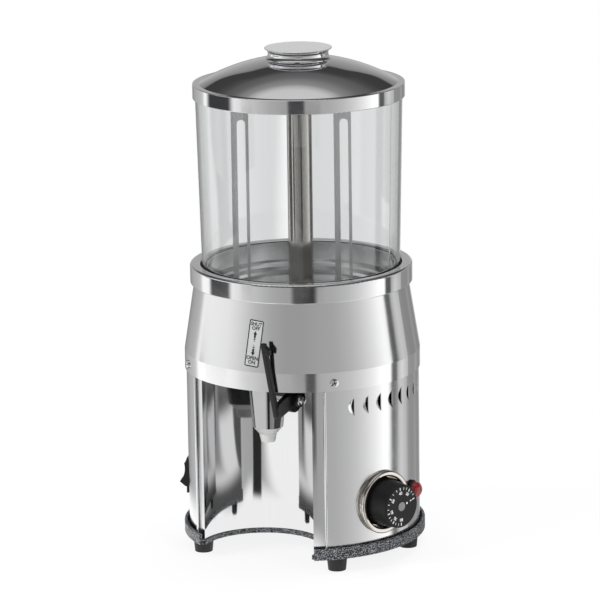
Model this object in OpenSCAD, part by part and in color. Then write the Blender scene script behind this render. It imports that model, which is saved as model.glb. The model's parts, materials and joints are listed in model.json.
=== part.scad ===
// Round countertop dispenser for hot drinks: a clear stirred bowl over a heated pan, with a tap in a cup bay.
// Millimetres. The origin is the body's axis on the table, +Z is up and the cup bay faces -Y.
// Angles are counted from the front towards +X.

/* [Base] */
// Height of the rubber feet
foot_h = 15; // [8:1:30]
// Diameter of a foot at its top
foot_d = 22; // [16:1:28]
// How much narrower a foot is at the table
foot_taper = 3; // [0:0.5:6]
// Distance from the rim's outside to a foot's centre
foot_inset = 16; // [14:1:24]
// Angle of the front feet
foot_front_a = 45; // [40:1:60]
// Angle of the side feet
foot_side_a = 104; // [90:1:125]
// Thickness of the base casting's floor
plate_t = 5; // [3:0.5:8]
// Height of the base casting's rim
rim_h = 12.5; // [8:0.5:20]
// Wall of the rim
rim_t = 3.4; // [3:0.1:6]
// Gap between the rim and the hem on the shell's edge
rim_gap = 0.4; // [0.3:0.1:3]

/* [Housing] */
// Outside diameter of the shell
body_d = 249; // [235:1:265]
// Height of the shell above the casting's floor
shell_h = 194; // [180:1:210]
// Thickness of the sheet metal
sheet = 1; // [0.6:0.1:1.5]
// Diameter of the cup bay
bay_d = 132; // [120:1:136]
// Depth of the cup bay from the shell's front
bay_depth = 93.5; // [85:0.5:94]
// Distance from the shell's top down to the deck over the bay
deck_drop = 15; // [12:0.5:22]
// How far the casting reaches into the bay past the liner
bay_lip = 1.5; // [0.5:0.1:3]
// Angle where the shell's front edge lies
shell_edge_a = 38.4; // [36.5:0.1:42]
// Diameter of the hem along the shell's front edge
hem_d = 2.6; // [1.6:0.1:3.2]
// Thickness of the deck over the bay
deck_t = 1.5; // [1:0.1:3]

/* [Louvres] */
// Number of louvres
louvre_n = 10; // [4:1:12]
// Angle of the first louvre
louvre_a = 53.4; // [50:0.1:58]
// Angle between louvres
louvre_pitch = 7.85; // [6.5:0.05:8.5]
// Length of a louvre
louvre_l = 20; // [14:0.5:26]
// Depth of a louvre
louvre_depth = 2.8; // [2:0.1:5]
// Width of a louvre along the shell
louvre_w = 7.5; // [4:0.1:9]
// Distance from the shell's top down to the middle of the louvres
louvre_drop = 36; // [32:1:60]

/* [Shoulder and collar] */
// Height of the shoulder's straight band
band_h = 20; // [16:0.5:26]
// How far the band laps over the shell
band_lap = 17; // [13:0.5:19]
// Height of the shoulder's cone
cone_h = 72.5; // [66:0.5:90]
// Height of the collar ring
collar_h = 20.5; // [16:0.5:26]
// Width of the collar ring's top
collar_w = 11.5; // [8:0.5:14]
// How far the collar stands out past the cone
collar_reach = 4; // [2:0.5:5]
// Height of the shoulder screws above the band's lower edge
screw_rise = 9; // [7:0.5:11]
// Angle of the shoulder screw on the right of the bay
screw_a = 43; // [40:0.5:50]

/* [Bowl and lid] */
// Outside diameter of the bowl at its foot
bowl_d = 210.4; // [200:0.2:216]
// How much wider the bowl is at its rim
bowl_flare = 9.2; // [0:0.2:12]
// Wall of the bowl
bowl_wall = 3; // [2:0.1:4]
// Height of the bowl
bowl_h = 206.7; // [180:0.1:240]
// Height of the lid's skirt
skirt_h = 15.3; // [10:0.1:20]
// Wall of the lid's skirt
skirt_t = 1.6; // [1:0.1:3]
// Width of the ledge round the dome
ledge_w = 5.9; // [5:0.1:12]
// Rise of the lid's dome
dome_rise = 27.9; // [15:0.1:40]
// Diameter of the lid's knob
grip_d = 71.6; // [40:0.2:90]
// Height of the lid's knob
grip_h = 9.8; // [8:0.1:20]

/* [Heating] */
// Depth of the pan below its flange
pan_depth = 13.5; // [11.5:0.5:20]
// Height of the pan's upright rim above its flange
pan_lip = 17.5; // [12:0.5:18]
// Depth of the water tank below its flange
tank_depth = 46.5; // [40:0.5:55]
// Diameter of the heating element's tube
heater_d = 8; // [6:0.5:10]
// Radius of the heating element's ring
heater_r = 54; // [40:1:56]

/* [Agitator] */
// Diameter of the drive shaft
shaft_d = 8; // [6:0.5:10]
// Outside diameter of the fixed column
column_d = 20; // [18:0.5:21]
// Outside diameter of the turning tube
stir_tube_d = 26.5; // [24:0.5:30]
// Width of a paddle
paddle_w = 18.5; // [14:0.5:20]
// Thickness of a paddle
paddle_t = 2; // [1.5:0.1:3]
// Width of the slot in a paddle
slot_w = 9; // [5:0.5:10]
// Gap between the wide-circle paddle and the pan's wall
paddle_gap = 19.2; // [10:0.1:24]
// How much nearer the other paddle runs to the axis
paddle_step = 17.5; // [10:0.5:24]
// Direction of the cross arm
arm_a = 28; // [0:1:90]

/* [Tap] */
// Distance from the shell's front to the spout's axis
tap_inset = 44.5; // [40:0.5:50]
// Diameter of the spout under the deck
spout_d = 41.5; // [36:0.5:44]
// Diameter of the spout at its lower end
spout_end_d = 32.5; // [27:0.5:35]
// Length of the spout
spout_l = 51.5; // [48:0.5:60]
// Depth of the valve plug's axis below the deck
plug_drop = 18; // [17:0.5:24]
// Diameter of the valve plug
plug_d = 24; // [20:0.5:25]
// Bore of the tap
flow_d = 13; // [8:0.5:13]
// Length of the nozzle below the spout
nozzle_l = 16.5; // [12:0.5:20]
// Outlet of the nozzle
nozzle_bore_d = 10; // [6:0.5:11]
// Turn of the lever from shut to open
lever_turn = 70; // [66:1:80]
// How far the side boss round the valve plug stands out of the spout
boss_reach = 7.25; // [5:0.25:10]
// Length of the lever's hub along its axis
hub_l = 11.3; // [9:0.1:16]
// Diameter of the lever's hub
hub_d = 30; // [24:0.5:32]
// Height of the lever's handle above its axis
handle_h = 69; // [50:1:90]

/* [Controls] */
// Angle of the thermostat
stat_a = 70; // [66:1:74]
// Height of the thermostat above the casting's floor
stat_z = 48.7; // [42:0.1:60]
// Outside diameter of the thermostat's bezel
stat_bezel_d = 67.6; // [60:0.2:74]
// Wall of the thermostat's bezel
stat_bezel_t = 6; // [5:0.5:7]
// Diameter of the thermostat knob at its foot
stat_knob_d = 52.6; // [46:0.2:54]
// How far the thermostat knob stands out of the bezel
stat_reach = 22.7; // [18:0.1:32]
// Angle of the pilot light
pilot_a = 94; // [92.5:0.5:100]
// Height of the pilot light above the casting's floor
pilot_z = 50; // [45:1:70]
// Diameter of the pilot light's lens
pilot_d = 16; // [10:0.5:18]
// Angle of the switch, on the left
switch_a = 70; // [60:1:85]
// Height of the switch above the casting's floor
switch_z = 52.5; // [45:0.5:70]
// Width of the switch's frame
switch_w = 25; // [22:0.5:30]
// Height of the switch's frame
switch_h = 38; // [36:0.5:44]
// Swing of the switch's rocker to each side
rock_a = 14; // [8:1:15]
// Height of the cable gland above the casting's floor
gland_z = 28; // [24:1:60]
// Cable passage of the gland
gland_bore_d = 8; // [6:0.5:9]
// Width of the tap's label
label_w = 16.6; // [12:0.2:20]
// Height of the tap's label
label_h = 49; // [30:1:52]

/* [Hidden] */
$fn = 96;

// Clearances: a close fit within one body, a running fit, a loose fit and an overlap for cuts
fit = 0.05;
run = 0.05;
loose = 0.3;
cut = 1;

// Heights
floor_z = foot_h + plate_t;
shell_top = floor_z + shell_h;
bay_h = shell_h - deck_drop;
deck_z = floor_z + bay_h;
deck_top = deck_z + deck_t;
band_z = shell_top - band_lap;
cone_z = band_z + band_h;
collar_z = cone_z + cone_h;
collar_top = collar_z + collar_h;

// Shell, shoulder and rim radii
body_r = body_d / 2;
shell_in = body_r - sheet;
band_fit = 0.5;
band_in = body_r + band_fit;
band_r = band_in + sheet;

// Cup bay: a vertical cylinder cut into the front
bay_r = bay_d / 2;
bay_y = body_r - bay_depth + bay_r;
flange_gap = 0.2;
flange_r = shell_in - flange_gap;
hem_ring = flange_r + loose + hem_d / 2;
rim_in = hem_ring + hem_d / 2 + rim_gap;
rim_r = rim_in + rim_t;
flange_lap_a = 4;
bay_edge_a = acos((flange_r^2 + bay_y^2 - bay_r^2) / (2 * flange_r * bay_y));

// Bowl seat, worked out from the bowl's foot outwards and inwards
bowl_r = bowl_d / 2;
lip_t = 1.2;
lip_gap = 0.4;
seat_r = bowl_r + lip_gap + lip_t;
collar_in = seat_r + 0.2;
collar_r = collar_in + collar_w;
cone_top_r = collar_r - collar_reach;
inner_lip_r = bowl_r - bowl_wall - lip_gap;
pan_rim_r = inner_lip_r - lip_t - 0.1;
tank_in = pan_rim_r + 2.5;
tank_r = tank_in + sheet;

// Stack on the shoulder's flange: tank, pan, gasket and bowl
tank_flange_z = collar_z;
pan_flange_z = tank_flange_z + sheet;
gasket_z = pan_flange_z + sheet;
gasket_floor = 3;
gasket_lip_h = collar_top - gasket_z - 1;
bowl_z = gasket_z + gasket_floor + loose;
bowl_top = bowl_z + bowl_h;
bowl_top_r = bowl_r + bowl_flare / 2;
pan_floor_z = pan_flange_z - pan_depth;
pan_step = 4;
pan_floor_r = pan_rim_r - sheet - 2 * pan_step;
tank_floor_z = tank_flange_z - tank_depth;

// Lid
skirt_in = bowl_top_r + 0.8;
skirt_r = skirt_in + skirt_t;
ledge_t = 1.5;
ledge_z = bowl_top + loose;
lid_z = ledge_z + ledge_t;
dome_r = skirt_r - 1 - ledge_w;
dome_ball = (dome_r^2 + dome_rise^2) / (2 * dome_rise);
dome_c = lid_z + dome_rise - dome_ball;
dome_t = 1.2;
grip_r = grip_d / 2;
grip_foot_z = dome_c + sqrt(dome_ball^2 - grip_r^2);
grip_top = grip_foot_z + grip_h + 2.5;
grip_screw_d = 5;
grip_screw_l = 7;
grip_screw_z = dome_c + dome_ball - dome_t - 0.2;

// Agitator
arm_z = bowl_top - 11.5;
arm_t = 3;
arm_w = 16;
stir_lift = 4;
stir_foot = pan_floor_z + stir_lift;
column_wall = 1.5;
column_in = column_d / 2 - column_wall;
column_foot = tank_floor_z - 7;
bush_l = 14;
stem_r = 6;
stem_z = arm_z - 20;
shaft_top = arm_z - 2;
column_top = stem_z + 8;
stir_wall = 1.5;
wide_r = pan_floor_r - paddle_gap - paddle_w / 2;
near_r = wide_r - paddle_step;
slot_foot = 11;
slot_head = 31;
slot_shift = 1.5;

// Motor under the deck
motor_r = 27;
gearbox_h = 35;
motor_can_r = 22;
motor_can_h = 52;
motor_screw_r = 21;
motor_boss_r = 9.8;
motor_boss_h = 5;
shaft_foot = deck_z - 16;

// Tap
tap_y = body_r - tap_inset;
spout_z = deck_z - spout_l;
plug_z = deck_z - plug_drop;
plug_r = plug_d / 2;
neck_r = 13.5;
neck_h = 27;
outlet_d = 20;
outlet_wall = 2;
outlet_socket = 14;
nozzle_socket = 8;
nozzle_fit_r = 10;
spout_r_at_plug = spout_d / 2 - (spout_d - spout_end_d) / 2 * plug_drop / spout_l;
plug_in = -plug_r - 0.7;
boss_wall = 2.2;
boss_end = spout_d / 2 + boss_reach;
hub_x = boss_end + 0.4;
hub_end = hub_x + hub_l;
stub_r = 7;
handle_y = 47.5;

// Controls
stat_face = body_r + 5.1;
stat_back = stat_face - 17.6;
stat_bezel_r = stat_bezel_d / 2;
stat_neck_r = stat_bezel_r - 2.8;
stat_in = stat_bezel_r - stat_bezel_t;
stat_shaft_r = 3;
knob_back = stat_back + 5;
knob_face = stat_face + stat_reach;
seat_gap = 0.05;
switch_seat = body_r + seat_gap;
frame_t = 2.2;
pocket_w = switch_w - 7;
pocket_h = switch_h - 8;
rocker_w = pocket_w - 1;
rocker_half = pocket_h / 2 - 1;
pivot_s = switch_seat - 2;
pivot_r = 1.5;
post_r = 5;
post_ring = body_r - 24.5;
post_angles = [112, 180, 248];

// Feet and screws
foot_ring = rim_r - foot_inset;
foot_angles = [-foot_front_a, foot_front_a, foot_side_a, 180, -foot_side_a];
foot_screw_r = 2.5;
screw_angles = [for (i = [-2:1]) screw_a + 90 * i];
screw_z = band_z + screw_rise;

// Places what follows at an angle from the front, facing outwards: its Z runs away from the body's axis
module outward(a, z) {
    rotate([0, 0, a])
        translate([0, 0, z])
            rotate([90, 0, 0])
                children();
}

// Places what follows at the spout's axis
module at_tap(z = 0) {
    translate([0, -tap_y, z])
        children();
}

// Places what follows on the valve plug's axis, with its Z along +X
module at_plug() {
    at_tap(plug_z)
        rotate([0, 90, 0])
            children();
}

// Turns the cross arm's own frame, with X along the arm, to its rest direction
module along_arm() {
    rotate([0, 0, arm_a])
        children();
}

// A tube along Z from a height
module tube(r_out, r_in, z, h) {
    translate([0, 0, z])
        difference() {
            cylinder(r = r_out, h = h);
            translate([0, 0, -cut])
                cylinder(r = r_in, h = h + 2 * cut);
        }
}

// A solid rod along Z from a height
module rod(r, z, h) {
    translate([0, 0, z])
        cylinder(r = r, h = h);
}

// A box in a section to be revolved: from one radius to another and from one height to another
module band2d(r0, r1, z0, z1) {
    translate([r0, z0])
        square([r1 - r0, z1 - z0]);
}

// The same box with round corners
module soft2d(r0, r1, z0, z1, f) {
    band2d(r0 + f, r1 - f, z0, z1);
    band2d(r0, r1, z0 + f, z1 - f);
    for (r = [r0 + f, r1 - f], z = [z0 + f, z1 - f])
        translate([r, z])
            circle(r = f);
}

// A wedge of the plane between two angles from the front, as a prism
module wedge(a0, a1, r, z, h) {
    steps = 6;
    far = r / cos((a1 - a0) / steps / 2);
    rim = [for (i = [0:steps]) a0 + (a1 - a0) * i / steps];
    translate([0, 0, z])
        linear_extrude(h)
            polygon(concat([[0, 0]], [for (a = rim) far * [sin(a), -cos(a)]]));
}

// The bay's volume, as wide as the radius given
module bay_cut(r, z, h) {
    translate([0, -bay_y, z])
        cylinder(r = r, h = h);
}

// A pan-head screw along Z: its head stands on Z = 0 and its shank hangs below
module pan_screw(head_r, head_h, shank_r, shank_l) {
    rod(shank_r, -shank_l, shank_l + cut / 2);
    rotate_extrude()
        difference() {
            union() {
                band2d(0, head_r, 0, head_h / 2);
                intersection() {
                    translate([0, head_h - 2 * head_r])
                        circle(r = 2 * head_r);
                    band2d(0, head_r, 0, head_h);
                }
            }
            translate([-cut, -cut])
                square([cut, head_h + 2 * cut]);
        }
}

module base_casting() {
    color("dimgray")
        difference() {
            rotate_extrude() {
                band2d(0, rim_r - 1, foot_h, floor_z);
                soft2d(rim_in, rim_r, foot_h, foot_h + rim_h, 1.2);
            }
            bay_cut(bay_r - bay_lip, 0, shell_top);
            wedge(-bay_edge_a, bay_edge_a, 2 * rim_r, 0, shell_top);
            for (a = foot_angles)
                outward(a, 0)
                    translate([0, 0, foot_ring])
                        rotate([-90, 0, 0])
                            rod(foot_screw_r + fit, 0, shell_top);
        }
    // the floor behind the bay, inside the wedge that clears the rim
    color("dimgray")
        difference() {
            intersection() {
                wedge(-bay_edge_a, bay_edge_a, 2 * rim_r, foot_h, plate_t);
                rod(shell_in, foot_h, plate_t);
            }
            bay_cut(bay_r - bay_lip, 0, shell_top);
        }
}

module rubber_feet() {
    color("black")
        for (a = foot_angles)
            rotate([0, 0, a])
                translate([0, -foot_ring, 0])
                    difference() {
                        cylinder(d1 = foot_d - foot_taper, d2 = foot_d, h = foot_h);
                        rod(foot_screw_r + fit, -cut, foot_h + 2 * cut);
                        rod(2 * foot_screw_r, -cut, foot_h / 2 + cut);
                    }
}

module foot_screws() {
    color("silver")
        for (a = foot_angles)
            rotate([0, 0, a])
                translate([0, -foot_ring, foot_h / 2])
                    rotate([180, 0, 0])
                        pan_screw(1.8 * foot_screw_r, 3, foot_screw_r, foot_h / 2 + plate_t);
}

module tie_posts() {
    color("silver")
        for (a = post_angles)
            rotate([0, 0, a])
                translate([0, -post_ring, 0])
                    rod(post_r, floor_z, bay_h);
}

// The bay's circle in the plan
module bay_plan(r) {
    translate([0, -bay_y])
        circle(r = r);
}

// The sheet round the bay, bent back along the shell's inside at both edges
module bay_liner() {
    flange_end_a = shell_edge_a + flange_lap_a;
    back = [for (i = [0:8]) flange_end_a + (360 - 2 * flange_end_a) * i / 8];
    color("gainsboro")
        translate([0, 0, floor_z])
            linear_extrude(bay_h)
                difference() {
                    circle(r = flange_r);
                    bay_plan(bay_r);
                    difference() {
                        circle(r = flange_r - sheet);
                        bay_plan(bay_r + sheet);
                    }
                    difference() {
                        polygon(concat([[0, 0]], [for (a = back) 2 * body_r * [sin(a), -cos(a)]]));
                        circle(r = flange_r - 2 * sheet);
                    }
                }
}

module deck_plate() {
    color("gainsboro")
        difference() {
            rod(flange_r, deck_z, deck_t);
            rod(motor_boss_r + loose, deck_z - cut, deck_t + 2 * cut);
            at_tap()
                rod(neck_r + fit, deck_z - cut, deck_t + 2 * cut);
            for (a = [45:90:315])
                rotate([0, 0, a])
                    translate([motor_screw_r, 0, 0])
                        rod(2 + fit, deck_z - cut, deck_t + 2 * cut);
        }
}

// Places what follows at a louvre, with X along the shell away from the front and -Y outwards
module at_louvre(i) {
    rotate([0, 0, louvre_a + louvre_pitch * i])
        translate([0, -body_r, shell_top - louvre_drop])
            children();
}

// The cone that presses a louvre in: its axis lies along the shell, outside it, and it is widest at the lance line
module louvre_cone(wall, tail, head) {
    axis_y = ((louvre_l / 2)^2 - louvre_depth^2) / (2 * louvre_depth);
    slope = louvre_depth / louvre_w;
    translate([-louvre_w - tail, -axis_y, 0])
        rotate([0, 90, 0])
            cylinder(r1 = axis_y + wall - slope * tail, r2 = axis_y + wall + louvre_depth + slope * head,
                h = louvre_w + tail + head);
}

module shell_openings() {
    wedge(-shell_edge_a, shell_edge_a, 2 * body_r, 0, 2 * shell_top);
    outward(stat_a, floor_z + stat_z)
        rod(stat_neck_r + flange_gap, body_r / 2, body_r);
    outward(pilot_a, floor_z + pilot_z)
        rod(pilot_d / 2 - 0.3, body_r / 2, body_r);
    outward(-switch_a, floor_z + switch_z)
        translate([-pocket_w / 2 - 2, -pocket_h / 2 - 2, body_r / 2])
            cube([pocket_w + 4, pocket_h + 4, body_r]);
    outward(180, floor_z + gland_z)
        rod(gland_bore_d / 2 + 4.2, body_r / 2, body_r);
    for (a = screw_angles)
        outward(a, screw_z)
            rod(2 + fit, body_r / 2, body_r);
}

module outer_shell() {
    lance = 0.05;
    color("silver") {
        difference() {
            union() {
                tube(body_r, shell_in, floor_z, shell_h);
                intersection() {
                    rod(body_r - sheet / 2, floor_z, shell_h);
                    for (i = [0:louvre_n - 1])
                        at_louvre(i)
                            louvre_cone(sheet, 1.5 * sheet, 0);
                }
            }
            shell_openings();
            for (i = [0:louvre_n - 1])
                at_louvre(i)
                    louvre_cone(0, sheet, lance);
        }
        for (side = [-1, 1])
            rotate([0, 0, side * shell_edge_a])
                translate([0, -hem_ring, floor_z])
                    cylinder(d = hem_d, h = shell_h - band_lap - 0.5);
    }
}

module shoulder_cover() {
    flange_hole_r = tank_r + loose;
    slope = (band_r - cone_top_r) / cone_h;
    inner_top_r = cone_top_r - sheet + slope * sheet;
    color("silver")
        difference() {
            rotate_extrude()
                polygon([[band_in, band_z], [band_r, band_z], [band_r, cone_z], [cone_top_r, collar_z],
                    [flange_hole_r, collar_z], [flange_hole_r, collar_z - sheet],
                    [inner_top_r, collar_z - sheet], [band_in, cone_z]]);
            for (a = screw_angles)
                outward(a, screw_z)
                    rod(2 + fit, body_r / 2, body_r);
        }
}

module shoulder_screws() {
    color("lightgray")
        for (a = screw_angles)
            outward(a, screw_z)
                translate([0, 0, band_r + seat_gap])
                    pan_screw(4.4, 2.8, 2, 9);
}

module collar_ring() {
    wall = 2.2;
    color("lightgray")
        rotate_extrude()
            difference() {
                union() {
                    soft2d(collar_in, collar_r, collar_z, collar_top - 5, 1);
                    soft2d(collar_in, collar_r, collar_z + 5, collar_top, 2.5);
                }
                band2d(collar_in + wall, collar_r - wall, collar_z - cut, collar_top - wall);
            }
}

module water_tank() {
    color("silver")
        difference() {
            rotate_extrude() {
                band2d(tank_in, seat_r, tank_flange_z, tank_flange_z + sheet);
                band2d(tank_in, tank_r, tank_floor_z, tank_flange_z + sheet);
                band2d(0, tank_r, tank_floor_z, tank_floor_z + sheet);
            }
            rod(column_d / 2 + fit, tank_floor_z - cut, 2 * tank_depth);
            at_tap()
                rod(outlet_d / 2 + fit, tank_floor_z - cut, 2 * tank_depth);
            for (side = [-1, 1])
                heater_leg(side)
                    rod(heater_leg_r + fit, tank_floor_z - cut, 2 + 2 * cut);
        }
}

// Places what follows at one of the heating element's two upright ends, at the back
heater_gap_a = 14;
heater_leg_r = heater_d / 2 - 1;
heater_end = 2 * heater_r * sin(heater_gap_a) - 12;
module heater_leg(side) {
    rotate([0, 0, 180 + side * heater_gap_a])
        translate([0, -heater_r, 0])
            children();
}

module heating_element() {
    ring_z = tank_floor_z + 13;
    leg_z = tank_floor_z - 14;
    color("dimgray") {
        difference() {
            translate([0, 0, ring_z])
                rotate_extrude()
                    translate([heater_r, 0])
                        circle(d = heater_d);
            translate([-heater_end / 2, 0, 0])
                cube([heater_end, 2 * heater_r, 2 * ring_z]);
        }
        for (side = [-1, 1])
            heater_leg(side) {
                rod(heater_leg_r, leg_z, ring_z - leg_z);
                rod(heater_d / 2 + 3, tank_floor_z - 4, 4);
            }
    }
}

// The pan's upper face from its edge down two coves to the floor
function pan_line(r0) = [[r0, pan_flange_z], [r0 - 2, pan_flange_z - 2.5], [r0 - pan_step, pan_flange_z - 4],
    [r0 - pan_step, pan_flange_z - 7], [r0 - 2 * pan_step + 1, pan_floor_z + 3], [r0 - 2 * pan_step, pan_floor_z]];

module heating_pan() {
    upper = pan_line(pan_rim_r - sheet);
    lower = [for (i = [len(upper) - 1:-1:0]) upper[i] + [sheet, i == 0 ? 0 : -sheet]];
    color("lightgray")
        difference() {
            rotate_extrude() {
                polygon(concat(upper, lower));
                band2d(0, pan_floor_r + sheet / 2, pan_floor_z - sheet, pan_floor_z);
            }
            rod(column_d / 2 + fit, 0, 2 * bowl_top);
            at_tap()
                rod(outlet_d / 2 - outlet_wall, 0, 2 * bowl_top);
        }
}

// The angle ring on the pan's edge: its flange lies on the tank and its upright centres the gasket
module seat_ring() {
    color("lightgray")
        rotate_extrude() {
            band2d(pan_rim_r - sheet, seat_r, pan_flange_z, gasket_z);
            band2d(pan_rim_r - sheet, pan_rim_r, pan_flange_z, gasket_z + pan_lip);
        }
}

module column_tube() {
    color("silver")
        tube(column_d / 2, column_in, column_foot, column_top - column_foot);
}

module bush(z) {
    color("white")
        tube(column_in - fit, shaft_d / 2 + run, z, bush_l);
}

module lower_bush() {
    bush(column_foot + 2);
}

module upper_bush() {
    bush(stem_z - 2 - bush_l);
}

module outlet_tube() {
    foot = deck_z + neck_h - outlet_socket;
    color("silver")
        at_tap()
            tube(outlet_d / 2, outlet_d / 2 - outlet_wall, foot, pan_floor_z - sheet - foot);
}

module bowl_gasket() {
    color("black")
        rotate_extrude() {
            band2d(pan_rim_r + 0.1, seat_r, gasket_z, gasket_z + gasket_floor);
            soft2d(seat_r - lip_t, seat_r, gasket_z, gasket_z + gasket_lip_h, 0.5);
            soft2d(inner_lip_r - lip_t, inner_lip_r, gasket_z, gasket_z + pan_lip - 1.5, 0.5);
        }
}

module gear_motor() {
    color("gray")
        difference() {
            union() {
                rod(motor_r, deck_z - gearbox_h, gearbox_h);
                rod(motor_can_r, deck_z - gearbox_h - motor_can_h, motor_can_h);
                rod(motor_boss_r, deck_z - cut, motor_boss_h + cut);
            }
            rod(shaft_d / 2 + run, shaft_foot - 1, gearbox_h);
            for (a = [45:90:315])
                rotate([0, 0, a])
                    translate([motor_screw_r, 0, 0])
                        rod(2 + fit, deck_z - 12, 12 + cut);
        }
}

module motor_screws() {
    color("silver")
        for (a = [45:90:315])
            rotate([0, 0, a])
                translate([motor_screw_r, 0, deck_top])
                    pan_screw(3.8, 2.6, 2, deck_t + 8);
}

module tap_body() {
    color("lightgray")
        difference() {
            union() {
                at_tap() {
                    translate([0, 0, spout_z])
                        cylinder(d1 = spout_end_d, d2 = spout_d, h = spout_l);
                    rod(spout_d / 2 + 3, deck_z - 3, 3);
                    rod(neck_r, deck_z - cut, neck_h + cut);
                }
                at_plug()
                    rod(plug_r + boss_wall, 0, boss_end);
            }
            at_tap() {
                rod(flow_d / 2, spout_z - cut, spout_l + neck_h + 2 * cut);
                rod(outlet_d / 2 + fit, deck_z + neck_h - outlet_socket, outlet_socket + cut);
                rod(nozzle_fit_r + fit, spout_z - cut, nozzle_socket + cut);
            }
            at_plug()
                rod(plug_r, plug_in, boss_end - plug_in + cut);
            at_tap(plug_z)
                rotate([-90, 0, 0])
                    rod(2 + fit, 0, spout_d);
        }
}

module tap_nut() {
    color("goldenrod")
        at_tap()
            difference() {
                translate([0, 0, deck_top])
                    cylinder(r = neck_r + 6, h = 8, $fn = 6);
                rod(neck_r + fit, deck_top - cut, 8 + 2 * cut);
            }
}

module nozzle() {
    bore_r = nozzle_bore_d / 2;
    flange_l = 6.5;
    tip_z = spout_z - nozzle_l;
    color("white")
        at_tap()
            difference() {
                union() {
                    rod(nozzle_fit_r, spout_z - cut, nozzle_socket + cut - 0.2);
                    translate([0, 0, spout_z - flange_l])
                        cylinder(r1 = bore_r + 5.6, r2 = spout_end_d / 2 - 0.1, h = flange_l);
                    translate([0, 0, tip_z])
                        cylinder(r1 = bore_r + 2.6, r2 = bore_r + 5.2, h = nozzle_l - flange_l / 2);
                }
                rod(bore_r, tip_z - cut, nozzle_l + nozzle_socket + 2 * cut);
            }
}

// A grub screw at the spout's back, whose nose runs in the plug's groove and keeps the plug in
groove_d = 1.5;
groove_w = 4.6;
module plug_stop_screw() {
    color("dimgray")
        at_tap(plug_z)
            rotate([-90, 0, 0])
                rod(2, plug_r - groove_d + loose, spout_r_at_plug - plug_r + groove_d - loose - 1);
}

module thermostat_bezel() {
    bead = 2.4;
    color("tan")
        outward(stat_a, floor_z + stat_z)
            difference() {
                rotate_extrude() {
                    soft2d(stat_in, stat_bezel_r, stat_face - 2 * bead - 0.2, stat_face, bead);
                    band2d(stat_in, stat_neck_r, stat_back, stat_face - bead);
                    band2d(0, stat_neck_r, stat_back, stat_back + 1.5);
                }
                rod(stat_shaft_r + loose, stat_back - cut, 4);
            }
}

module thermostat_body() {
    side = 36;
    depth = 28;
    color("dimgray")
        outward(stat_a, floor_z + stat_z)
            difference() {
                translate([-side / 2, -side / 2, stat_back - depth])
                    cube([side, side, depth]);
                rod(stat_shaft_r + run, stat_back - 13, 13 + cut);
            }
}

// The thermostat's sensing bulb in its clip under the tank's floor
module thermostat_bulb() {
    bulb_r = 3;
    bulb_l = 60;
    clip_t = 1;
    color("peru")
        translate([-heater_r / 2 - 8, 0, tank_floor_z - bulb_r - clip_t])
            rotate([90, 0, 0]) {
                rod(bulb_r, -bulb_l / 2, bulb_l);
                for (z = [-15, 15])
                    translate([-bulb_r, 0, z - 4])
                        cube([2 * bulb_r, bulb_r + clip_t, 8]);
            }
}

module pilot_bezel() {
    color("black")
        outward(pilot_a, floor_z + pilot_z)
            difference() {
                rotate_extrude() {
                    soft2d(0, pilot_d / 2 + 2, switch_seat, switch_seat + 3, 1);
                    band2d(0, pilot_d / 2 - 0.5, switch_seat - 14, switch_seat + 1);
                }
                rod(pilot_d / 2 - 2, switch_seat - 8, 12);
                rod(pilot_d / 2 + fit, switch_seat + 1.5, 4);
            }
}

module pilot_lens() {
    lens_r = pilot_d / 2;
    lens_z = switch_seat + 1.6;
    lens_l = 6;
    ball_r = lens_r + 1.5;
    color("red")
        outward(pilot_a, floor_z + pilot_z) {
            rod(lens_r - 2 - fit, switch_seat - 7, lens_z - switch_seat + 7 + cut);
            rod(lens_r, lens_z, lens_l);
            intersection() {
                rod(lens_r, lens_z + lens_l - cut, ball_r);
                translate([0, 0, lens_z + 1])
                    sphere(r = ball_r);
            }
        }
}

module switch_frame() {
    depth = 24;
    color("black")
        outward(-switch_a, floor_z + switch_z)
            difference() {
                union() {
                    translate([-switch_w / 2, -switch_h / 2, switch_seat])
                        cube([switch_w, switch_h, frame_t]);
                    translate([-pocket_w / 2 - 1.8, -pocket_h / 2 - 1.8, switch_seat - depth])
                        cube([pocket_w + 3.6, pocket_h + 3.6, depth + frame_t / 2]);
                }
                translate([-pocket_w / 2, -pocket_h / 2, switch_seat - 12])
                    cube([pocket_w, pocket_h, 30]);
                translate([0, 0, pivot_s])
                    rotate([0, 90, 0])
                        rod(pivot_r + run, -pocket_w / 2 - 1.2, pocket_w + 2.4);
            }
}

// The rocker's side: a dished face between two ridges, sloping ends and a flat back
module rocker_side() {
    ridge = [rocker_half - 3.5, 10.2];
    dish_r = 22;
    dish_c = ridge[1] + sqrt(dish_r^2 - ridge[0]^2);
    difference() {
        polygon([[-rocker_half, -3], [-rocker_half, 3.4], [-ridge[0], ridge[1]], [ridge[0], ridge[1]],
            [rocker_half, 3.4], [rocker_half, -3]]);
        translate([0, dish_c])
            circle(r = dish_r);
    }
}

module switch_rocker() {
    color("black")
        outward(-switch_a, floor_z + switch_z)
            translate([0, 0, pivot_s])
                rotate([-rock_a, 0, 0]) {
                    rotate([90, 0, 90])
                        translate([0, 0, -rocker_w / 2])
                            linear_extrude(rocker_w)
                                rocker_side();
                    rotate([0, 90, 0])
                        rod(pivot_r, -rocker_w / 2 - 1.5, rocker_w + 3);
                }
}

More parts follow.
